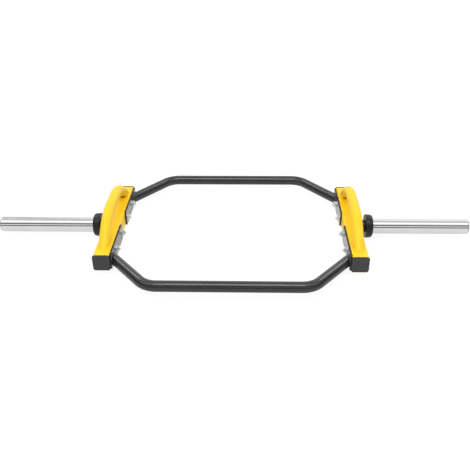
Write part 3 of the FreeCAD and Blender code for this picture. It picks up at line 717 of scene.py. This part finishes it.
def weld_loops(name, ends, axis):
    """Closed loops of edges round the cuts, square to the axis."""
    first, second = [k for k in (X, Y, Z) if k != axis]
    points, edges = [], []
    for centre, half in ends:
        start = len(points)
        for index in range(WELD_PATH_POINTS):
            angle = 2 * math.pi * index / WELD_PATH_POINTS
            point = centre.copy()
            point[first] += half[first] * math.cos(angle)
            point[second] += half[second] * math.sin(angle)
            points.append(point)
            edges.append((start + index, start + (index + 1) % WELD_PATH_POINTS))
    mesh = bpy.data.meshes.new(name)
    mesh.from_pydata(points, edges, [])
    return mesh


def welds():
    """Weld beads where the handles stand on the beams and the tubes meet their plates."""
    tree = weld_bead_tree()
    handle_ends = cut_ends("left_handle", Z, across=Y) + cut_ends("right_handle", Z, across=Y)
    tube_ends = cut_ends("front_tube", X, across=X) + cut_ends("rear_tube", X, across=X)
    for name, ends, axis, slot in (("handle_welds", handle_ends, Z, "yellow_coat"),
                                   ("tube_welds", tube_ends, X, "black_coat")):
        bead = run_tree(weld_loops(name, ends, axis), tree, bead_radius=WELD_RADIUS,
                        ripple_pitch=WELD_RIPPLE_PITCH, ripple_share=WELD_RIPPLE_SHARE,
                        finish=FINISHES[slot])
        new_piece(name, bead, "frame", slot)


def soften_plates():
    """Flange plates with flat sides and broken edges."""
    for corner in ("front_left", "front_right", "rear_left", "rear_right"):
        node = f"{corner}_plate"
        work = merged_copy(node)
        bmesh.ops.dissolve_limit(work, angle_limit=SAME_FACE_ANGLE, verts=work.verts, edges=work.edges)
        sharp = [edge for edge in work.edges if edge.calc_face_angle(0.0) > PLATE_EDGE_ANGLE]
        bmesh.ops.bevel(work, geom=sharp, offset=PLATE_EDGE_BREAK, segments=PLATE_EDGE_STEPS,
                        profile=ROUND_PROFILE, affect="EDGES", clamp_overlap=True)
        mesh = finished_mesh(work, f"{node}_softened", PLATE_SHARP_ANGLE)
        coats = [FLANGE_SIDE_COAT, FLANGE_EDGE_COAT]
        for coat in coats:
            mesh.materials.append(coat)
        for polygon in mesh.polygons:
            on_side = abs(polygon.normal.x) > PLATE_SIDE_NORMAL
            polygon.material_index = coats.index(FLANGE_SIDE_COAT if on_side else FLANGE_EDGE_COAT)
            polygon.use_smooth = not on_side
        new_piece(f"{corner}_flange", mesh, "frame", "black_coat", node)


def chromed_sleeves():
    """Loading sleeves: chromed outside, scuffed and darkened with painted shade at the tip, bare steel in the
    bore and on the inner end.

    A ring of edges behind the tip keeps the shading of the long chromed part straight.
    """
    skins = [FINISHES["chrome"], FINISHES["dark_steel"], SLEEVE_TIP_SCUFF_AND_SHADE]
    for side, sign in (("left", -1), ("right", 1)):
        node = f"{side}_sleeve"
        low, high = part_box(node)
        inner_x = low.x if sign > 0 else high.x
        middle_z = (low.z + high.z) / 2
        work = merged_copy(node)
        bmesh.ops.dissolve_limit(work, angle_limit=SAME_FACE_ANGLE, verts=work.verts, edges=work.edges)
        shoulder_x = min(abs(vertex.co.x) for vertex in work.verts
                         if abs(vertex.co.x - inner_x) > SLEEVE_TIP_START)
        ring_x = sign * (shoulder_x - SLEEVE_RING_BEHIND_TIP)
        bmesh.ops.bisect_plane(work, geom=work.verts[:] + work.edges[:] + work.faces[:],
                               plane_co=(ring_x, 0.0, 0.0), plane_no=(1.0, 0.0, 0.0))
        tip = [edge for edge in work.edges if edge.calc_face_angle(0.0) > SLEEVE_TIP_EDGE_ANGLE
               and all(abs(vertex.co.x - inner_x) > SLEEVE_TIP_START for vertex in edge.verts)]
        bmesh.ops.bevel(work, geom=tip, offset=SLEEVE_EDGE_BREAK, segments=SLEEVE_EDGE_STEPS,
                        profile=ROUND_PROFILE, affect="EDGES", clamp_overlap=True)
        for face in work.faces:
            spot = face.calc_center_median()
            out_of_axis = Vector((0.0, spot.y, spot.z - middle_z))
            from_inner_end = abs(spot.x - inner_x)
            skin = FINISHES["chrome"]
            if face.normal.dot(out_of_axis) < -SAME_POINT or from_inner_end < SLEEVE_BARE_END:
                skin = FINISHES["dark_steel"]
            # the tip's outward faces get the scuffed chrome with painted shade
            elif from_inner_end > SLEEVE_TIP_START and sign * face.normal.x > SLEEVE_TIP_SLOPE:
                skin = SLEEVE_TIP_SCUFF_AND_SHADE
            face.material_index = skins.index(skin)
        mesh = finished_mesh(work, f"{node}_chromed", SLEEVE_SHARP_ANGLE)
        for skin in skins:
            mesh.materials.append(skin)
        new_piece(f"{side}_chromed_sleeve", mesh, f"{side}_sleeve_unit", "chrome", node)


def coat_nodes():
    """Give every solid that still shows the finish of its slot."""
    slots = {part["node"]: part["material_slot"] for part in frame["record"]["subparts"]}
    for name, node in frame["nodes"].items():
        node.data.materials.clear()
        node.data.materials.append(FINISHES[slots[name]])


# Studio

def floor_white():
    """Finish of the floor: white to the eye, a little less so in reflections, and able to take a shadow.

    Its fill is the soft light that a white floor throws back on what lies on it.
    """
    material = bpy.data.materials.new("floor_white")
    material.use_nodes = True
    tree = material.node_tree
    tree.nodes.clear()
    rays = tree.nodes.new("ShaderNodeLightPath").outputs
    mirrored = calculate(tree, "MAXIMUM", rays["Is Glossy Ray"], rays["Is Transmission Ray"])
    glow = tree.nodes.new("ShaderNodeEmission")
    shown = calculate(tree, "ADD", calculate(tree, "MULTIPLY", rays["Is Camera Ray"], FLOOR_GLOW),
                      calculate(tree, "MULTIPLY", mirrored, FLOOR_MIRRORED_GLOW))
    fill = calculate(tree, "MULTIPLY", rays["Is Diffuse Ray"], FLOOR_FILL)
    tree.links.new(calculate(tree, "ADD", shown, fill), glow.inputs["Strength"])
    card = tree.nodes.new("ShaderNodeBsdfDiffuse")
    card.inputs["Color"].default_value = (FLOOR_BOUNCE, FLOOR_BOUNCE, FLOOR_BOUNCE, 1.0)
    both = tree.nodes.new("ShaderNodeAddShader")
    tree.links.new(glow.outputs["Emission"], both.inputs[0])
    tree.links.new(card.outputs["BSDF"], both.inputs[1])
    result = tree.nodes.new("ShaderNodeOutputMaterial")
    tree.links.new(both.outputs["Shader"], result.inputs["Surface"])
    return material


def flat_panel(name, width, height, matrix):
    """A flat rectangular panel of the studio, which isn't part of the bar."""
    x, y = width / 2, height / 2
    mesh = bpy.data.meshes.new(name)
    mesh.from_pydata([(-x, -y, 0), (x, -y, 0), (x, y, 0), (-x, y, 0)], [], [(0, 1, 2, 3)])
    mesh.transform(matrix)
    panel = bpy.data.objects.new(name, mesh)
    bpy.context.scene.collection.objects.link(panel)
    return panel


def aim(place, target):
    """Turn of a lamp or panel at a place so that it faces a target."""
    return (Vector(target) - Vector(place)).to_track_quat("-Z", "Y").to_matrix().to_4x4()


def floor():
    """Plain pale floor."""
    panel = flat_panel("floor", FLOOR_SIDE, FLOOR_SIDE, Matrix.Identity(4))
    panel.data.materials.append(floor_white())


def sky():
    """White surroundings, seen at full strength and lighting the bar more gently."""
    world = bpy.data.worlds.new("studio")
    bpy.context.scene.world = world
    world.use_nodes = True
    tree = world.node_tree
    tree.nodes.clear()
    rays = tree.nodes.new("ShaderNodeLightPath").outputs
    seen = calculate(tree, "MAXIMUM", rays["Is Camera Ray"],
                     calculate(tree, "MAXIMUM", rays["Is Glossy Ray"], rays["Is Transmission Ray"]))
    shown = tree.nodes.new("ShaderNodeBackground")
    shown.inputs["Strength"].default_value = SKY_SEEN
    fill = tree.nodes.new("ShaderNodeBackground")
    fill.inputs["Strength"].default_value = SKY_FILL
    mix = tree.nodes.new("ShaderNodeMixShader")
    for background in (shown, fill):
        background.inputs["Color"].default_value = (1.0, 1.0, 1.0, 1.0)
    tree.links.new(seen, mix.inputs["Fac"])
    tree.links.new(fill.outputs["Background"], mix.inputs[1])
    tree.links.new(shown.outputs["Background"], mix.inputs[2])
    result = tree.nodes.new("ShaderNodeOutputWorld")
    tree.links.new(mix.outputs["Shader"], result.inputs["Surface"])


def softboxes():
    """A softbox over the middle, a strip over each sleeve and two tall softboxes far off at the rear."""
    for name, (place, target, size, turn, radiance) in SOFTBOXES.items():
        lamp = bpy.data.lights.new(name, "AREA")
        lamp.shape = "RECTANGLE"
        lamp.size, lamp.size_y = size
        lamp.energy = radiance * math.pi * lamp.size * lamp.size_y
        light = bpy.data.objects.new(name, lamp)
        turned = aim(place, target) @ Matrix.Rotation(turn, 4, "Z")
        light.matrix_world = Matrix.Translation(place) @ turned
        bpy.context.scene.collection.objects.link(light)


def flags():
    """Dark flags round the camera and pale cards above and behind, which draw the lines on the chrome."""
    for name, (place, size, tilt, turn, grey) in FLAGS.items():
        material = bpy.data.materials.new(f"{name}_cloth")
        material.use_nodes = True
        cloth = material.node_tree.nodes["Principled BSDF"]
        cloth.inputs["Base Color"].default_value = (grey, grey, grey, 1.0)
        cloth.inputs["Roughness"].default_value = 1.0
        stand = Matrix.Rotation(turn, 4, "Z") @ Matrix.Rotation(tilt, 4, "X")
        flag = flat_panel(name, *size, Matrix.Translation(place) @ stand)
        flag.data.materials.append(material)
        flag.visible_camera = False
        flag.visible_diffuse = False
        flag.visible_shadow = False


def camera():
    """The photograph's viewpoint."""
    azimuth, elevation = CAMERA_AZIMUTH, CAMERA_ELEVATION
    back = Vector((math.sin(azimuth) * math.cos(elevation), -math.cos(azimuth) * math.cos(elevation),
                   math.sin(elevation)))
    level_right = (-back).cross(Vector((0, 0, 1))).normalized()
    level_up = back.cross(level_right)
    right = level_right * math.cos(CAMERA_ROLL) + level_up * math.sin(CAMERA_ROLL)
    up = level_up * math.cos(CAMERA_ROLL) - level_right * math.sin(CAMERA_ROLL)
    lens = bpy.data.cameras.new("camera")
    lens.sensor_width = CAMERA_SENSOR_MM
    lens.lens = CAMERA_LENS_MM
    viewer = bpy.data.objects.new("camera", lens)
    turn = Matrix((right, up, back)).transposed().to_4x4()
    viewer.matrix_world = Matrix.Translation(CAMERA_TARGET + back * CAMERA_DISTANCE) @ turn
    bpy.context.scene.collection.objects.link(viewer)
    bpy.context.scene.camera = viewer


coat_nodes()
fasteners()
welds()
soften_plates()
chromed_sleeves()
floor()
sky()
softboxes()
flags()
camera()
bpy.context.scene.view_settings.view_transform = "Standard"
